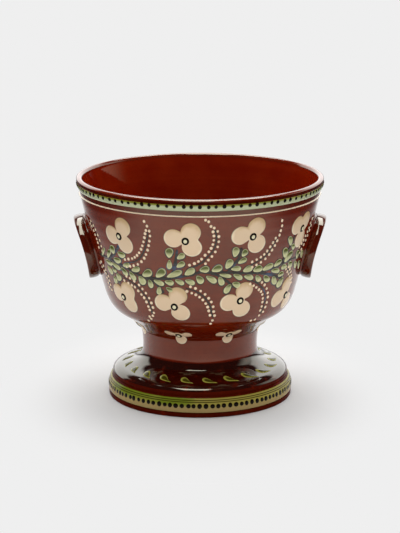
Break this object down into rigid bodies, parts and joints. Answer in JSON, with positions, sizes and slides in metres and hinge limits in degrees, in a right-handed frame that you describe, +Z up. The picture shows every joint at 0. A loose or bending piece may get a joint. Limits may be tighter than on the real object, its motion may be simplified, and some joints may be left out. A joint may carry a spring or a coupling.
{
  "type": "footed bowl",
  "caption": "Wide glazed earthenware bowl on a hollow flared foot, with disc lugs and raised slip flowers, bands and lines.",
  "frame": {"origin": "on the vessel's axis, in the plane of the ring that it stands on", "axes": "+Z up along the vessel's axis, +X through the right lug, front of the pictured ornament towards -Y"},
  "size_m": [0.2466, 0.2418, 0.219],
  "materials": {
    "brown_glaze": "gloss",
    "joint_slip": "gloss",
    "cream_slip": "gloss",
    "green_slip": "gloss"
  },
  "bodies": {
    "root": {"bowl": "brown_glaze", "foot": "brown_glaze", "neck_lute": "joint_slip", "lug_left": "brown_glaze", "lug_right": "brown_glaze", "lug_pad_left": "joint_slip", "lug_pad_right": "joint_slip", "rim_band": "green_slip", "rim_line": "cream_slip", "foot_band": "green_slip", "upper_blossom_front_1": "cream_slip", "upper_blossom_front_2": "cream_slip", "upper_blossom_front_3": "cream_slip", "upper_blossom_front_4": "cream_slip", "upper_blossom_back_1": "cream_slip", "upper_blossom_back_2": "cream_slip", "upper_blossom_back_3": "cream_slip", "upper_blossom_back_4": "cream_slip", "lower_blossom_front_1": "cream_slip", "lower_blossom_front_2": "cream_slip", "lower_blossom_front_3": "cream_slip", "lower_blossom_front_4": "cream_slip", "lower_blossom_back_1": "cream_slip", "lower_blossom_back_2": "cream_slip", "lower_blossom_back_3": "cream_slip", "lower_blossom_back_4": "cream_slip"}
  },
  "joints": []
}
